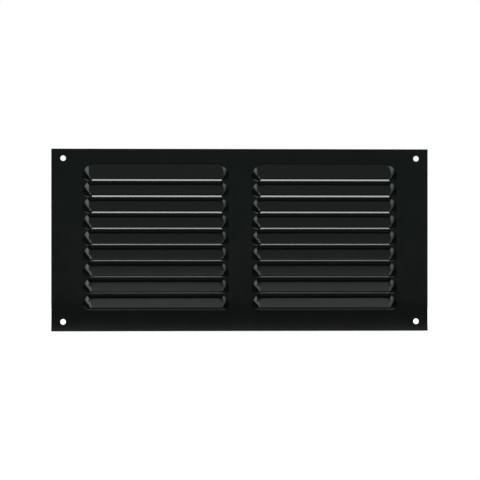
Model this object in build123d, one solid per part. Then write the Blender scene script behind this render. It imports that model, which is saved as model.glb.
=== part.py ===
from build123d import *
import math
import os

# Ventilation grille: one sheet of coated aluminium with two columns of pressed louvres.
# Millimetres. X runs along the width, Z is up, the louvres stand out towards -Y.
# The origin is the middle of the back face, which lies against the wall at Y = 0.

# Sheet
plate_width = 240.0
plate_height = 115.0
sheet_thickness = 1.2

# Screw holes, one in each corner
hole_diameter = 3.5
hole_inset_side = 7.5
hole_inset_end = 6.0

# Louvre field
louvre_columns = 2
louvre_rows = 9
side_margin = 20.0
centre_bar = 15.0
top_margin = 9.2
bottom_margin = 14.6

# One louvre: a hood pushed out above a slit, with sloping ends and a rounded lip that turns under
slit_land = 0.6
lip_projection = 4.2
lip_drop = 1.5
lip_radius = 5.0
lip_turn = 19.0
end_taper = 3.9
bend_radius = 1.5
crease_radius = 3.5

# Flat sheet kept beside the bends at a hood's ends
flat_beside_bend = 0.5

# Length below which an edge counts as flat
edge_tolerance = 1e-4

# Sizes that follow from the values above
field_width = plate_width - 2 * side_margin
louvre_length = (field_width - (louvre_columns - 1) * centre_bar) / louvre_columns
column_spacing = louvre_length + centre_bar
louvre_pitch = (plate_height - top_margin - bottom_margin + slit_land) / louvre_rows
hood_height = louvre_pitch - slit_land
lowest_slit = bottom_margin - plate_height / 2
hole_spacing_x = plate_width - 2 * hole_inset_side
hole_spacing_z = plate_height - 2 * hole_inset_end

# The hood's face is the tangent from its root to the lip's round, whose middle is lip_centre
turn_angle = math.radians(lip_turn)
lip_front = -sheet_thickness - lip_projection
lip_centre = Vector(lip_front + lip_radius, lip_radius * math.sin(turn_angle) - lip_drop)
root_to_centre = lip_centre - Vector(-sheet_thickness, hood_height)
centre_lean = math.atan2(-root_to_centre.X, -root_to_centre.Y)
face_angle = centre_lean + math.asin(lip_radius / root_to_centre.length)

# Slope of the hood's ends, measured from the plane of the sheet as the face's is
end_angle = math.atan2(lip_projection, end_taper)

# The piece of sheet that one louvre is formed from
end_bend_run = bend_radius * math.tan(end_angle / 2)
cell_width = louvre_length + 2 * (end_bend_run + flat_beside_bend)


def side_block(outline):
    """A side outline drawn out along the louvre, past both its ends."""
    return extrude(Plane.YZ * make_face(outline), louvre_length, both=True)


def plan_block(half_back, back, half_front, front):
    """The space between a louvre's two sloping ends, drawn out up and down."""
    corners = [(-half_back, back), (half_back, back), (half_front, front), (-half_front, front)]
    return extrude(Plane.XY * make_face(Polyline(*corners, close=True)), plate_height, both=True)


def lip_round(radius):
    """The lip's round in the side view, from the end of the straight face down to the lip's foot."""
    start = lip_centre + Vector(-math.cos(face_angle), math.sin(face_angle)) * radius
    stop = lip_centre + Vector(-math.cos(turn_angle), -math.sin(turn_angle)) * radius
    down_the_face = (-math.sin(face_angle), -math.cos(face_angle))
    return TangentArc(start, stop, tangent=down_the_face)


def hood_blank():
    """The hood as a full block on the front of the sheet, with its square-cut lip at the bottom."""
    root = (-sheet_thickness, hood_height)
    slit = (-sheet_thickness, 0)
    lip = lip_round(lip_radius)
    lip_inner = lip_round(lip_radius - sheet_thickness) @ 1
    face = Line(root, lip @ 0)
    underside = Polyline(lip @ 1, lip_inner, slit, root)
    half_lip = louvre_length / 2 - end_taper
    ends = plan_block(louvre_length / 2, -sheet_thickness, half_lip, lip_front)
    return round_creases(side_block(face + lip + underside) & ends)


def hood_cavity():
    """What is open behind the hood: its face, lip and ends moved in by the sheet's thickness.

    The creases inside stay crisp, as the edges of a punch leave them.
    """
    back = sheet_thickness
    mouth_top = hood_height - sheet_thickness * math.tan(face_angle / 2)
    back_top = (back, mouth_top + back / math.tan(face_angle))
    below = -lip_drop - hood_height
    lip = lip_round(lip_radius - sheet_thickness)
    face = Line(back_top, lip @ 0)
    underside = Polyline(lip @ 1, ((lip @ 1).X, below), (back, below), back_top)
    half_mouth = louvre_length / 2 - sheet_thickness * math.tan(end_angle / 2)
    half_back = half_mouth + back / math.tan(end_angle)
    half_lip = half_mouth + lip_front / math.tan(end_angle)
    ends = plan_block(half_back, back, half_lip, lip_front)
    return side_block(face + lip + underside) & ends


def round_creases(block):
    """Rounds the edges where a hood's face and lip meet its two sloping ends."""
    ends = []
    fronts = []
    for face in block.faces():
        normal = face.normal_at()
        if normal.Y < -edge_tolerance:
            across = abs(normal.X) > edge_tolerance
            (ends if across else fronts).append(face)
    end_edges = ShapeList(edge for face in ends for edge in face.edges())
    front_edges = ShapeList(edge for face in fronts for edge in face.edges())
    return fillet(end_edges & front_edges, crease_radius)


def root_edges(cell, level):
    """The edges round a hood where it leaves the face of the sheet at this Y."""
    found = []
    for edge in cell.edges():
        box = edge.bounding_box()
        middle = box.center()
        flat = box.size.Y < edge_tolerance and abs(middle.Y - level) < edge_tolerance
        inside_x = abs(middle.X) < cell_width / 2 - edge_tolerance
        inside_z = edge_tolerance < middle.Z < louvre_pitch - edge_tolerance
        if flat and inside_x and inside_z:
            found.append(edge)
    return found


def louvre_cell():
    """One louvre with the flat sheet round it, its slit along Z = 0."""
    flat = Pos(0, -sheet_thickness / 2, louvre_pitch / 2) * Box(cell_width, sheet_thickness, louvre_pitch)
    cell = flat + hood_blank()
    cell = fillet(root_edges(cell, -sheet_thickness), bend_radius)
    cell = cell - hood_cavity()
    return fillet(root_edges(cell, 0), bend_radius + sheet_thickness)


def flat_frame():
    """The flat sheet with its screw holes and a window for each column of louvres."""
    sheet = Pos(0, -sheet_thickness / 2, 0) * Box(plate_width, sheet_thickness, plate_height)
    window_height = louvre_rows * louvre_pitch
    window_z = lowest_slit + window_height / 2
    for place in GridLocations(column_spacing, 0, louvre_columns, 1):
        window = Box(cell_width, 2 * sheet_thickness, window_height)
        sheet = sheet - Pos(place.position.X, -sheet_thickness / 2, window_z) * window
    for place in GridLocations(hole_spacing_x, hole_spacing_z, 2, 2):
        hole = Rot(90, 0, 0) * Cylinder(hole_diameter / 2, 2 * sheet_thickness)
        sheet = sheet - Pos(place.position.X, -sheet_thickness / 2, place.position.Y) * hole
    return sheet


def louvre_places():
    """Where the louvres stand, column by column from the bottom row up."""
    places = []
    for column in range(louvre_columns):
        x = (column - (louvre_columns - 1) / 2) * column_spacing
        for row in range(louvre_rows):
            places.append(Pos(x, 0, lowest_slit + row * louvre_pitch))
    return places


def grille_plate():
    """The whole pressed sheet as one solid."""
    cell = louvre_cell()
    cells = [place * cell for place in louvre_places()]
    return flat_frame().fuse(*cells).clean()


os.makedirs("parts", exist_ok=True)
grille = grille_plate()
grille.label = "grille_plate"
export_step(grille, "parts/grille_plate.step")
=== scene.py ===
import math

import bpy
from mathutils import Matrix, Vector


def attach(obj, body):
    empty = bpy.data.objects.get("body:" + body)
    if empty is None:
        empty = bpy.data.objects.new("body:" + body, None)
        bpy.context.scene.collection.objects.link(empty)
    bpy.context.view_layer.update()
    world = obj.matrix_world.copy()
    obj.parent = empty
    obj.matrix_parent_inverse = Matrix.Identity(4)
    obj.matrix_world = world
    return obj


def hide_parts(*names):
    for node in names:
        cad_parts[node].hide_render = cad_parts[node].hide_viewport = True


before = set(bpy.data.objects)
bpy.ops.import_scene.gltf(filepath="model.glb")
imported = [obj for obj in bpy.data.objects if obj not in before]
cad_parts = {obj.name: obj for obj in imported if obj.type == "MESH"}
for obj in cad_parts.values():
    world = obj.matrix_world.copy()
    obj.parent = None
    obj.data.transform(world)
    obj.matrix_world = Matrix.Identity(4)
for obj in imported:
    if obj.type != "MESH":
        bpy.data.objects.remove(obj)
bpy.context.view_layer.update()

MM = 0.001

# Driving sizes of the pressed sheet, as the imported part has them
PLATE_WIDTH = 240.0 * MM
PLATE_HEIGHT = 115.0 * MM
SHEET_THICKNESS = 1.2 * MM
HOLE_RADIUS = 1.75 * MM
HOLE_INSET_SIDE = 7.5 * MM
HOLE_INSET_END = 6.0 * MM
LOUVRE_COLUMNS = 2
LOUVRE_ROWS = 9
SIDE_MARGIN = 20.0 * MM
CENTRE_BAR = 15.0 * MM
TOP_MARGIN = 9.2 * MM
BOTTOM_MARGIN = 14.6 * MM
SLIT_LAND = 0.6 * MM
LIP_PROJECTION = 4.2 * MM
LIP_DROP = 1.5 * MM
LIP_TURN = math.radians(19.0)
END_TAPER = 3.9 * MM
BEND_RADIUS = 1.5 * MM
FLAT_BESIDE_BEND = 0.5 * MM

# The nose that a lip ends in, the round corners of a hood's top and the eased cut edges
NOSE_RADIUS = 8.8 * MM
NOSE_TOP_TURN = math.radians(10.0)
CORNER_RADIUS = 8.0 * MM
EDGE_ROUND = 0.12 * MM

# How far the blends between the surfaces of a hood reach, in depth
LIP_BLEND = 0.3 * MM
CREASE_BLEND = 2.8 * MM
FACE_BEND_BLEND = 1.0 * MM
END_BEND_BLEND = 0.35 * MM

# Where the louvres and the screw holes are
FIELD_WIDTH = PLATE_WIDTH - 2 * SIDE_MARGIN
LOUVRE_LENGTH = (FIELD_WIDTH - (LOUVRE_COLUMNS - 1) * CENTRE_BAR) / LOUVRE_COLUMNS
COLUMN_SPACING = LOUVRE_LENGTH + CENTRE_BAR
LOUVRE_PITCH = (PLATE_HEIGHT - TOP_MARGIN - BOTTOM_MARGIN + SLIT_LAND) / LOUVRE_ROWS
HOOD_HEIGHT = LOUVRE_PITCH - SLIT_LAND
LOWEST_SLIT = BOTTOM_MARGIN - PLATE_HEIGHT / 2
HOLE_SPACING_X = PLATE_WIDTH - 2 * HOLE_INSET_SIDE
HOLE_SPACING_Z = PLATE_HEIGHT - 2 * HOLE_INSET_END

# The straight face of a hood meets a gently round nose, which turns under down to its foot.
# The blend between them takes a little off the corner, so the corner starts that much further out.
ROUND_LEVEL = NOSE_RADIUS * math.sin(LIP_TURN) - LIP_DROP
CORNER_LEVEL = ROUND_LEVEL - NOSE_RADIUS * math.sin(NOSE_TOP_TURN)
CORNER_DEPTH = LIP_PROJECTION + LIP_BLEND / 8
ROUND_DEPTH = CORNER_DEPTH - NOSE_RADIUS * math.cos(NOSE_TOP_TURN)
FACE_SLOPE = CORNER_DEPTH / (HOOD_HEIGHT - CORNER_LEVEL)
LIP_FOOT_DEPTH = ROUND_DEPTH + NOSE_RADIUS * math.cos(LIP_TURN)
END_ANGLE = math.atan2(LIP_PROJECTION, END_TAPER)

# The piece of sheet round one louvre, and how its grid is spaced
CELL_WIDTH = LOUVRE_LENGTH + 2 * (BEND_RADIUS * math.tan(END_ANGLE / 2) + FLAT_BESIDE_BEND)
CELL_COLUMNS = 72
CELL_ROWS = 30
MIDDLE_SHARE = 12 / CELL_COLUMNS
MIDDLE_REACH = 37.5 * MM
FINE_ROWS = 0.7
CLOSING_STRIP = 0.5 * MM
HOLE_CORNERS = 64

# How near points have to be to count as one, or as lying on a border
CELL_WELD = 0.001 * MM
FRAME_WELD = 0.005 * MM
BORDER_TOLERANCE = 0.002 * MM

# Edges sharper than these angles are eased, or shaded as edges
EASED_ANGLE = math.radians(60.0)
SHARP_ANGLE = math.radians(40.0)

# The black coat
COAT_DARK = (0.0018, 0.0045, 0.0038, 1.0)
COAT_LIGHT = (0.0028, 0.0056, 0.0047, 1.0)
COAT_ROUGHNESS = (0.11, 0.15)
COAT_IOR = 1.58

# Scale, detail and roughness of the noises in the coat, and how they are used
COLOUR_DRIFT = (28.0, 3.0, 0.55)
GLOSS_PATCHES = (90.0, 4.0, 0.6)
GLOSS_SPREAD = (0.3, 0.7)
ORANGE_PEEL = (900.0, 2.0, 0.5)
PEEL_STRENGTH = 0.12
PEEL_HEIGHT = 0.04 * MM

# Brightness of the room that the coat reflects
LOW_ROOM = 0.095
DARK_ROOM = 0.02
HIGH_ROOM = 0.76
GREY_CARD = 0.21

# Where the room's brightness changes, as parts of a direction one unit long
BEHIND_GRILLE = (0.1, 0.3)
ROOM_SIDES = (-0.65, -0.35)
OVER_HORIZON = (0.03, 0.12)
UNDER_CEILING = (0.6, 0.68)

# The card that the faces of the upper rows mirror, and below whose edge the lowest rows look out
CARD_DISTANCE = 200.0 * MM
CARD_EDGE = 180.0 * MM
CARD_TOP = 500.0 * MM
CARD_SIDES = (-220.0 * MM, 260.0 * MM)

# The table under the grille
TABLE_FRONT = 115.0 * MM
TABLE_REACH = 1500.0 * MM
TABLE_GAP = 0.1 * MM
TABLE_PAINT = (0.8, 0.8, 0.8, 1.0)
TABLE_GLOW = 0.6
TABLE_FADE = (200.0 * MM, 500.0 * MM)

# The camera, a little to the left of the grille's front
CAMERA_AZIMUTH = -8.0
CAMERA_DISTANCE = 4.0
CAMERA_LENS = 475.0
CAMERA_SENSOR = 36.0
CAMERA_REACH = 40.0


class NodeBench:
    """Adds and wires the nodes of one tree."""

    def __init__(self, tree):
        self.tree = tree

    def add(self, kind, values=None, **settings):
        node = self.tree.nodes.new(kind)
        for name, value in settings.items():
            setattr(node, name, value)
        for key, value in (values or {}).items():
            self.feed(node.inputs[key], value)
        return node

    def feed(self, socket, value):
        if isinstance(value, bpy.types.NodeSocket):
            self.tree.links.new(value, socket)
        else:
            socket.default_value = value

    def math(self, operation, *values, clamp=False):
        node = self.add("ShaderNodeMath", operation=operation, use_clamp=clamp)
        for socket, value in zip(node.inputs, values):
            self.feed(socket, value)
        return node.outputs[0]

    def map_range(self, value, low, high, to_low, to_high, curve="LINEAR"):
        node = self.add("ShaderNodeMapRange", interpolation_type=curve, clamp=True)
        for socket, given in zip(node.inputs, (value, low, high, to_low, to_high)):
            self.feed(socket, given)
        return node.outputs[0]

    def split(self, vector):
        return self.add("ShaderNodeSeparateXYZ", {"Vector": vector}).outputs

    def vector(self, x=0.0, y=0.0, z=0.0):
        return self.add("ShaderNodeCombineXYZ", {"X": x, "Y": y, "Z": z}).outputs[0]

    def grid(self, width, height, columns, rows):
        """A flat grid with this many points across and up."""
        sizes = {"Size X": width, "Size Y": height, "Vertices X": columns, "Vertices Y": rows}
        return self.add("GeometryNodeMeshGrid", sizes).outputs["Mesh"]

    def formed(self, geometry, position):
        return self.add("GeometryNodeSetPosition", {"Geometry": geometry, "Position": position}).outputs[0]

    def moved(self, geometry, shift, turn=(0.0, 0.0, 0.0)):
        values = {"Geometry": geometry, "Translation": shift, "Rotation": turn}
        return self.add("GeometryNodeTransform", values).outputs[0]

    def set_out(self, points, shape):
        """One copy of the shape on each point."""
        return self.add("GeometryNodeInstanceOnPoints", {"Points": points, "Instance": shape}).outputs[0]

    def realized(self, geometry):
        return self.add("GeometryNodeRealizeInstances", {"Geometry": geometry}).outputs[0]

    def welded(self, geometry, distance):
        values = {"Geometry": geometry, "Distance": distance}
        return self.add("GeometryNodeMergeByDistance", values).outputs[0]

    def joined(self, *parts):
        node = self.add("GeometryNodeJoinGeometry")
        for part in parts:
            self.tree.links.new(part, node.inputs[0])
        return node.outputs[0]


def new_tree(name, inputs, outputs):
    """An empty Geometry Nodes tree with named sockets, and its bench, input sockets and output sockets."""
    tree = bpy.data.node_groups.new(name, "GeometryNodeTree")
    for label, kind in inputs:
        tree.interface.new_socket(label, in_out="INPUT", socket_type=kind)
    for label, kind in outputs:
        tree.interface.new_socket(label, in_out="OUTPUT", socket_type=kind)
    bench = NodeBench(tree)
    return bench, bench.add("NodeGroupInput").outputs, bench.add("NodeGroupOutput").inputs


def face_and_lip_depth(bench, given):
    """The straight face of a hood, bent into the round nose of its lip."""
    under_round = bench.math("MINIMUM", bench.math("SUBTRACT", given["Z"], given["Round Level"]), 0.0)
    radius_square = bench.math("MULTIPLY", given["Nose Radius"], given["Nose Radius"])
    drop_square = bench.math("MULTIPLY", under_round, under_round)
    nose_reach = bench.math("SQRT", bench.math("SUBTRACT", radius_square, drop_square))
    nose_depth = bench.math("ADD", given["Round Depth"], nose_reach)
    below_root = bench.math("SUBTRACT", given["Hood Height"], given["Z"])
    face_depth = bench.math("MULTIPLY", below_root, given["Face Slope"])
    return bench.math("SMOOTH_MIN", face_depth, nose_depth, given["Lip Blend"])


def end_depth(bench, given):
    """The sloping ends of a hood, which run round into its top at the corners."""
    half_length = bench.math("MULTIPLY", given["Louvre Length"], 0.5)
    corner_x = bench.math("SUBTRACT", half_length, given["Corner Radius"])
    corner_z = bench.math("SUBTRACT", given["Hood Height"], given["Corner Radius"])
    across = bench.math("ABSOLUTE", given["X"])
    past_x = bench.math("MAXIMUM", bench.math("SUBTRACT", across, corner_x), 0.0)
    past_z = bench.math("MAXIMUM", bench.math("SUBTRACT", given["Z"], corner_z), 0.0)
    square_x = bench.math("MULTIPLY", past_x, past_x)
    square_z = bench.math("MULTIPLY", past_z, past_z)
    from_corner = bench.math("SQRT", bench.math("ADD", square_x, square_z))
    from_outline = bench.math("SUBTRACT", given["Corner Radius"], from_corner)
    return bench.math("MULTIPLY", from_outline, given["End Slope"])


def hood_depth_tree():
    """How far the front of a hood stands out of the sheet, at X along it and Z above its slit."""
    sizes = ["Louvre Length", "Hood Height", "Corner Radius", "Nose Radius", "Round Depth", "Round Level",
             "Face Slope", "End Slope", "Lip Blend", "Crease Blend", "Face Bend Blend", "End Bend Blend"]
    inputs = [(label, "NodeSocketFloat") for label in ["X", "Z"] + sizes]
    bench, given, result = new_tree("hood_depth", inputs, [("Depth", "NodeSocketFloat")])

    # Face and ends blend at the crease, then into the flat sheet at the bend
    face = face_and_lip_depth(bench, given)
    end = end_depth(bench, given)
    reach = given["Crease Blend"]
    hood = bench.math("SMOOTH_MIN", face, end, reach)
    face_over_end = bench.math("SUBTRACT", face, end)
    bend_blend = bench.map_range(face_over_end, bench.math("MULTIPLY", reach, -0.5), reach,
                                 given["Face Bend Blend"], given["End Bend Blend"], "SMOOTHSTEP")
    bench.feed(result["Depth"], bench.math("SMOOTH_MAX", hood, 0.0, bend_blend))
    return bench.tree


def along_cell(bench, given, across):
    """X on a cell for a grid place from -1 to 1: wide steps in the middle, fine ones over the ends."""
    share = bench.math("ABSOLUTE", across)
    half_cell = bench.math("MULTIPLY", given["Cell Width"], 0.5)
    end_run = bench.math("SUBTRACT", half_cell, given["Middle Reach"])
    middle = bench.map_range(share, 0.0, MIDDLE_SHARE, 0.0, given["Middle Reach"])
    outer = bench.map_range(share, MIDDLE_SHARE, 1.0, 0.0, end_run)
    return bench.math("MULTIPLY", bench.math("ADD", middle, outer), bench.math("SIGN", across))


def up_cell(bench, given, up):
    """Z on a flat cell for a grid place from -1 to 1: fine steps at the root and at the lip."""
    down = bench.math("MULTIPLY", bench.math("SUBTRACT", 1.0, up), 0.5)
    wave = bench.math("SINE", bench.math("MULTIPLY", down, 2 * math.pi))
    down = bench.math("SUBTRACT", down, bench.math("MULTIPLY", wave, FINE_ROWS / (2 * math.pi)))
    return bench.math("MULTIPLY", bench.math("SUBTRACT", 1.0, down), given["Louvre Pitch"])


def louvre_cell(bench, given, hood_depth):
    """One louvre in its piece of sheet, and the flat strip that closes a column below its lowest slit."""
    def depth_at(x, z):
        node = bench.add("GeometryNodeGroup", node_tree=hood_depth)
        bench.feed(node.inputs["X"], x)
        bench.feed(node.inputs["Z"], z)
        for socket in node.inputs:
            if socket.name not in ("X", "Z"):
                bench.feed(socket, given[socket.name])
        return node.outputs["Depth"]

    place = bench.split(bench.add("GeometryNodeInputPosition").outputs[0])
    x = along_cell(bench, given, place["X"])
    level = up_cell(bench, given, place["Y"])

    # The lip hangs below the slit, as far as the hood stands out above it
    hang = bench.math("DIVIDE", depth_at(x, level), given["Lip Foot Depth"], clamp=True)
    near_slit = bench.map_range(level, 0.0, given["Hood Height"], 1.0, 0.0)
    hang = bench.math("MULTIPLY", hang, bench.math("MULTIPLY", near_slit, near_slit))
    z = bench.math("SUBTRACT", level, bench.math("MULTIPLY", hang, given["Lip Drop"]))
    cell_grid = bench.grid(2.0, 2.0, CELL_COLUMNS + 1, CELL_ROWS + 1)
    cell = bench.formed(cell_grid, bench.vector(x, z, depth_at(x, z)))

    strip_share = bench.math("MULTIPLY", bench.math("SUBTRACT", place["Y"], 1.0), 0.5)
    strip_z = bench.math("MULTIPLY", strip_share, given["Closing Strip"])
    strip_grid = bench.grid(2.0, 2.0, CELL_COLUMNS + 1, 2)
    strip = bench.formed(strip_grid, bench.vector(x, strip_z))
    return cell, strip


def louvre_field(bench, given, cell, strip):
    """The columns of louvres, each with its closing strip, as one mesh."""
    gaps_x = bench.math("SUBTRACT", given["Louvre Columns"], 1.0)
    gaps_z = bench.math("SUBTRACT", given["Louvre Rows"], 1.0)
    width = bench.math("MULTIPLY", gaps_x, given["Column Spacing"])
    height = bench.math("MULTIPLY", gaps_z, given["Louvre Pitch"])
    middle = bench.math("ADD", bench.math("MULTIPLY", height, 0.5), given["Lowest Slit"])
    points = bench.grid(width, height, given["Louvre Columns"], given["Louvre Rows"])
    cells = bench.set_out(bench.moved(points, bench.vector(y=middle)), cell)

    left = bench.math("MULTIPLY", width, -0.5)
    line = bench.add("GeometryNodeMeshLine", {"Count": given["Louvre Columns"]}, mode="OFFSET")
    bench.feed(line.inputs["Start Location"], bench.vector(left, given["Lowest Slit"]))
    bench.feed(line.inputs["Offset"], bench.vector(given["Column Spacing"]))
    strips = bench.set_out(line.outputs[0], strip)
    return bench.welded(bench.realized(bench.joined(strips, cells)), CELL_WELD)


def column_borders(bench, given, field):
    """The outline of each column of louvres, which the flat frame has to meet point for point."""
    spot = bench.split(bench.add("GeometryNodeInputPosition").outputs[0])

    def lies_at(value, target):
        return bench.math("COMPARE", value, target, BORDER_TOLERANCE)

    rise = bench.math("MULTIPLY", given["Louvre Rows"], given["Louvre Pitch"])
    top = bench.math("ADD", given["Lowest Slit"], rise)
    bottom = bench.math("SUBTRACT", given["Lowest Slit"], given["Closing Strip"])
    column_x = bench.math("MULTIPLY", given["Column Spacing"], 0.5)
    half_cell = bench.math("MULTIPLY", given["Cell Width"], 0.5)
    off_column = bench.math("SUBTRACT", bench.math("ABSOLUTE", spot["X"]), column_x)
    border = bench.math("ADD", lies_at(spot["Y"], top), lies_at(spot["Y"], bottom))
    border = bench.math("ADD", border, lies_at(bench.math("ABSOLUTE", off_column), half_cell))
    chosen = bench.math("GREATER_THAN", border, 0.5)
    return bench.add("GeometryNodeMeshToCurve", {"Mesh": field, "Selection": chosen}).outputs[0]


def flat_frame(bench, given, borders):
    """The flat sheet between the plate's outline, the columns of louvres and the screw holes."""
    plate = {"Width": given["Plate Width"], "Height": given["Plate Height"]}
    outline = bench.add("GeometryNodeCurvePrimitiveQuadrilateral", plate).outputs[0]
    circle = {"Resolution": HOLE_CORNERS, "Radius": given["Hole Radius"]}
    hole = bench.add("GeometryNodeCurvePrimitiveCircle", circle).outputs[0]
    hole_points = bench.grid(given["Hole Spacing X"], given["Hole Spacing Z"], 2, 2)
    holes = bench.realized(bench.set_out(hole_points, hole))
    loops = bench.joined(holes, borders, outline)
    return bench.add("GeometryNodeFillCurve", {"Curve": loops}, mode="TRIANGLES").outputs[0]


def pressed_sheet_tree(hood_depth):
    """The front of the whole pressed sheet: louvre cells set in a flat frame with four holes."""
    sizes = {
        "Plate Width": PLATE_WIDTH,
        "Plate Height": PLATE_HEIGHT,
        "Sheet Thickness": SHEET_THICKNESS,
        "Hole Radius": HOLE_RADIUS,
        "Hole Spacing X": HOLE_SPACING_X,
        "Hole Spacing Z": HOLE_SPACING_Z,
        "Cell Width": CELL_WIDTH,
        "Middle Reach": MIDDLE_REACH,
        "Column Spacing": COLUMN_SPACING,
        "Louvre Pitch": LOUVRE_PITCH,
        "Hood Height": HOOD_HEIGHT,
        "Lowest Slit": LOWEST_SLIT,
        "Closing Strip": CLOSING_STRIP,
        "Louvre Length": LOUVRE_LENGTH,
        "Corner Radius": CORNER_RADIUS,
        "Nose Radius": NOSE_RADIUS,
        "Lip Drop": LIP_DROP,
        "Lip Foot Depth": LIP_FOOT_DEPTH,
        "Round Depth": ROUND_DEPTH,
        "Round Level": ROUND_LEVEL,
        "Face Slope": FACE_SLOPE,
        "Lip Blend": LIP_BLEND,
        "End Slope": math.tan(END_ANGLE),
        "Crease Blend": CREASE_BLEND,
        "Face Bend Blend": FACE_BEND_BLEND,
        "End Bend Blend": END_BEND_BLEND,
    }
    inputs = [(label, "NodeSocketFloat") for label in sizes]
    inputs += [("Louvre Columns", "NodeSocketInt"), ("Louvre Rows", "NodeSocketInt")]
    inputs += [("Coat", "NodeSocketMaterial")]
    bench, given, result = new_tree("pressed_sheet", inputs, [("Geometry", "NodeSocketGeometry")])

    cell, strip = louvre_cell(bench, given, hood_depth)
    field = louvre_field(bench, given, cell, strip)
    flat = flat_frame(bench, given, column_borders(bench, given, field))
    sheet = bench.welded(bench.joined(flat, field), FRAME_WELD)

    # Stood upright, with the front at the sheet's thickness
    front = bench.vector(y=bench.math("MULTIPLY", given["Sheet Thickness"], -1.0))
    upright = bench.realized(bench.moved(sheet, front, (math.pi / 2, 0.0, 0.0)))
    coated = bench.add("GeometryNodeSetMaterial", {"Geometry": upright, "Material": given["Coat"]})
    bench.feed(result["Geometry"], coated.outputs[0])
    return bench.tree, sizes


def black_coat():
    """Semi-gloss black powder coat with a fine orange peel and slight unevenness."""
    coat = bpy.data.materials.new("black_coat")
    coat.use_nodes = True
    bench = NodeBench(coat.node_tree)
    shader = coat.node_tree.nodes["Principled BSDF"]
    shader.inputs["IOR"].default_value = COAT_IOR
    spots = bench.add("ShaderNodeTexCoord").outputs["Object"]

    def noise(scale, detail, roughness):
        values = {"Vector": spots, "Scale": scale, "Detail": detail, "Roughness": roughness}
        return bench.add("ShaderNodeTexNoise", values).outputs["Fac"]

    # Slow drift of the colour, in sockets 6 and 7 of a colour mix
    colour = bench.add("ShaderNodeMix", data_type="RGBA")
    bench.feed(colour.inputs["Factor"], noise(*COLOUR_DRIFT))
    bench.feed(colour.inputs[6], COAT_DARK)
    bench.feed(colour.inputs[7], COAT_LIGHT)
    bench.feed(shader.inputs["Base Color"], colour.outputs[2])

    # Patches of gloss, and the orange peel
    gloss = bench.map_range(noise(*GLOSS_PATCHES), *GLOSS_SPREAD, *COAT_ROUGHNESS)
    bench.feed(shader.inputs["Roughness"], gloss)
    peel = {"Height": noise(*ORANGE_PEEL), "Strength": PEEL_STRENGTH, "Distance": PEEL_HEIGHT}
    bump = bench.add("ShaderNodeBump", peel)
    bench.feed(shader.inputs["Normal"], bump.outputs[0])
    return coat


def pressed_sheet(coat):
    """The whole grille as one mesh: the node tree's front, given its thickness and eased edges."""
    tree, sizes = pressed_sheet_tree(hood_depth_tree())
    draft = bpy.data.objects.new("grille_draft", bpy.data.meshes.new("grille_draft"))
    bpy.context.scene.collection.objects.link(draft)
    draft.data.materials.append(coat)
    press = draft.modifiers.new("press", "NODES")
    press.node_group = tree
    settings = dict(sizes)
    settings["Louvre Columns"] = LOUVRE_COLUMNS
    settings["Louvre Rows"] = LOUVRE_ROWS
    settings["Coat"] = coat
    for item in tree.interface.items_tree:
        if item.item_type == "SOCKET" and item.in_out == "INPUT":
            press[item.identifier] = settings[item.name]
    gauge = draft.modifiers.new("gauge", "SOLIDIFY")
    gauge.thickness = SHEET_THICKNESS
    gauge.offset = -1.0
    gauge.use_even_offset = True
    eased = draft.modifiers.new("eased_edges", "BEVEL")
    eased.width = EDGE_ROUND
    eased.segments = 1
    eased.limit_method = "ANGLE"
    eased.angle_limit = EASED_ANGLE

    # The finished mesh, with its back held flat on the wall
    finished = draft.evaluated_get(bpy.context.evaluated_depsgraph_get())
    mesh = bpy.data.meshes.new_from_object(finished)
    bpy.data.objects.remove(draft)
    mesh.name = "pressed_sheet"
    for vertex in mesh.vertices:
        vertex.co.y = min(vertex.co.y, 0.0)
    mesh.shade_smooth()
    mesh.set_sharp_from_angle(angle=SHARP_ANGLE)
    sheet = bpy.data.objects.new("pressed_sheet", mesh)
    bpy.context.scene.collection.objects.link(sheet)
    return sheet


def aim(thing, target):
    thing.rotation_euler = (Vector(target) - thing.location).to_track_quat("-Z", "Y").to_euler()


def around(azimuth, elevation, distance):
    """A place round the grille: azimuth from its front towards +X, elevation up, in degrees."""
    turn = math.radians(azimuth)
    lift = math.radians(elevation)
    flat = math.cos(lift) * distance
    return Vector((math.sin(turn) * flat, -math.cos(turn) * flat, math.sin(lift) * distance))


def softbox(name, place, size, radiance, target=(0.0, 0.0, 0.0)):
    """A rectangular studio light whose face shines evenly; power follows from its area."""
    light = bpy.data.lights.new(name, "AREA")
    light.shape = "RECTANGLE"
    light.size, light.size_y = size
    light.energy = radiance * math.pi * size[0] * size[1]
    box = bpy.data.objects.new(name, light)
    box.location = place
    bpy.context.scene.collection.objects.link(box)
    aim(box, target)
    box.visible_camera = False
    return box


def seen_as_white(bench, behind):
    """Which rays see a white background: the camera's, and mirrored ones that end behind the grille."""
    path = bench.add("ShaderNodeLightPath").outputs
    mirrored = bench.math("MULTIPLY", path["Is Glossy Ray"], behind)
    seen = bench.math("MAXIMUM", path["Is Camera Ray"], path["Is Transmission Ray"])
    return bench.math("MAXIMUM", seen, mirrored)


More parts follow.
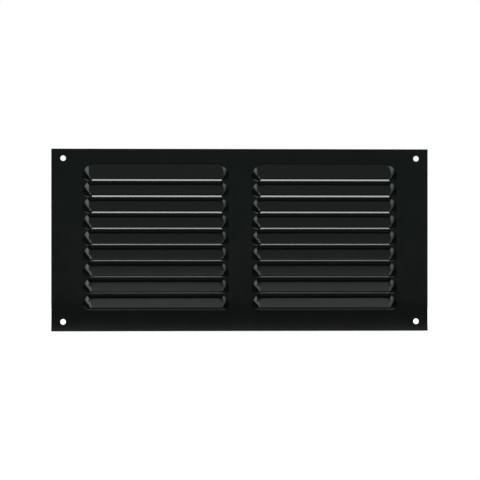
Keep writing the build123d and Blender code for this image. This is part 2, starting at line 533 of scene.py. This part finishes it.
def white_backdrop_world():
    """White for the camera, and for the coat where it mirrors what stands behind the grille.

    On the camera's side the coat mirrors a dim room: pale low down and high up, dark between.
    """
    world = bpy.data.worlds.new("studio")
    world.use_nodes = True
    bench = NodeBench(world.node_tree)
    world.node_tree.nodes.clear()
    aimed = bench.split(bench.add("ShaderNodeTexCoord").outputs["Generated"])
    behind = bench.map_range(aimed["Y"], *BEHIND_GRILLE, 0.0, 1.0, "SMOOTHSTEP")
    seen = seen_as_white(bench, behind)
    front = bench.map_range(aimed["Y"], *ROOM_SIDES, LOW_ROOM, DARK_ROOM, "SMOOTHSTEP")
    low = bench.map_range(aimed["Z"], *OVER_HORIZON, front, DARK_ROOM, "SMOOTHSTEP")
    high = bench.map_range(aimed["Z"], *UNDER_CEILING, 0.0, HIGH_ROOM, "SMOOTHSTEP")
    room = bench.add("ShaderNodeBackground", {"Strength": bench.math("ADD", low, high)})
    white = bench.add("ShaderNodeBackground", {"Strength": 1.0})
    for shade in (room, white):
        shade.inputs["Color"].default_value = (1.0, 1.0, 1.0, 1.0)
    mix = bench.add("ShaderNodeMixShader", {"Fac": seen})
    bench.feed(mix.inputs[1], room.outputs[0])
    bench.feed(mix.inputs[2], white.outputs[0])
    output = bench.add("ShaderNodeOutputWorld")
    bench.feed(output.inputs["Surface"], mix.outputs[0])
    bpy.context.scene.world = world


def stage_paint(name):
    """An empty material for the stage, and its bench and output socket."""
    paint = bpy.data.materials.new(name)
    paint.use_nodes = True
    paint.node_tree.nodes.clear()
    bench = NodeBench(paint.node_tree)
    return paint, bench, bench.add("ShaderNodeOutputMaterial").inputs["Surface"]


def pale_table_paint():
    """Matt white paint that glows just enough to be white outside a shadow.

    It glows for the camera, and behind the grille also for the coat that mirrors it.
    """
    paint, bench, surface = stage_paint("pale_table_paint")
    spots = bench.add("ShaderNodeTexCoord").outputs["Object"]
    seen = seen_as_white(bench, bench.math("GREATER_THAN", bench.split(spots)["Y"], 0.0))
    away = bench.add("ShaderNodeVectorMath", {0: spots}, operation="LENGTH").outputs["Value"]
    strength = bench.map_range(away, *TABLE_FADE, TABLE_GLOW, 1.0, "SMOOTHSTEP")
    matt = bench.add("ShaderNodeBsdfDiffuse", {"Color": TABLE_PAINT})
    glow = bench.add("ShaderNodeEmission", {"Strength": bench.math("MULTIPLY", seen, strength)})
    both = bench.add("ShaderNodeAddShader")
    bench.feed(both.inputs[0], matt.outputs[0])
    bench.feed(both.inputs[1], glow.outputs[0])
    bench.feed(surface, both.outputs[0])
    return paint


def flat_panel(name, corners, paint):
    """One four-cornered face of the stage."""
    mesh = bpy.data.meshes.new(name)
    mesh.from_pydata(corners, [], [(0, 1, 2, 3)])
    mesh.materials.append(paint)
    panel = bpy.data.objects.new(name, mesh)
    bpy.context.scene.collection.objects.link(panel)
    return panel


def grey_card():
    """A dim card in front of the grille and above the camera's view, which the camera doesn't see."""
    paint, bench, surface = stage_paint("grey_card_paint")
    glow = bench.add("ShaderNodeEmission", {"Strength": GREY_CARD})
    bench.feed(surface, glow.outputs[0])
    left, right = CARD_SIDES
    corners = [(left, -CARD_DISTANCE, CARD_EDGE), (right, -CARD_DISTANCE, CARD_EDGE),
               (right, -CARD_DISTANCE, CARD_TOP), (left, -CARD_DISTANCE, CARD_TOP)]
    card = flat_panel("grey_card", corners, paint)
    card.visible_camera = False
    return card


def pale_table():
    """The white table that the grille stands on, near its front edge."""
    level = -PLATE_HEIGHT / 2 - TABLE_GAP
    left, right, front, back = -TABLE_REACH, TABLE_REACH, -TABLE_FRONT, TABLE_REACH
    corners = [(left, front, level), (right, front, level), (right, back, level), (left, back, level)]
    return flat_panel("pale_table", corners, pale_table_paint())


def studio_camera():
    lens = bpy.data.cameras.new("photo_camera")
    lens.lens = CAMERA_LENS
    lens.sensor_width = CAMERA_SENSOR
    lens.clip_end = CAMERA_REACH
    camera = bpy.data.objects.new("photo_camera", lens)
    camera.location = around(CAMERA_AZIMUTH, 0.0, CAMERA_DISTANCE)
    bpy.context.scene.collection.objects.link(camera)
    aim(camera, (0.0, 0.0, 0.0))
    bpy.context.scene.camera = camera


grille = pressed_sheet(black_coat())
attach(grille, "root")
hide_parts("grille_plate")

white_backdrop_world()
pale_table()
grey_card()

# The lips mirror the low light, which the table's front edge hides more and more from row to row
softbox("low_softbox", around(8.0, -33.0, 0.71), size=(0.45, 0.58), radiance=8.7, target=(0.0, 0.0, 0.03))

# The creases at the ends of the hoods mirror the side lights
softbox("left_softbox", around(-46.0, 40.0, 1.0), size=(1.0, 0.5), radiance=1.5)
softbox("right_softbox", around(58.0, 40.0, 1.0), size=(0.9, 0.5), radiance=0.8)

# A light for the hollow side
softbox("back_softbox", around(170.0, 8.0, 1.2), size=(1.0, 0.6), radiance=0.8)
studio_camera()

bpy.context.scene.view_settings.view_transform = "Standard"
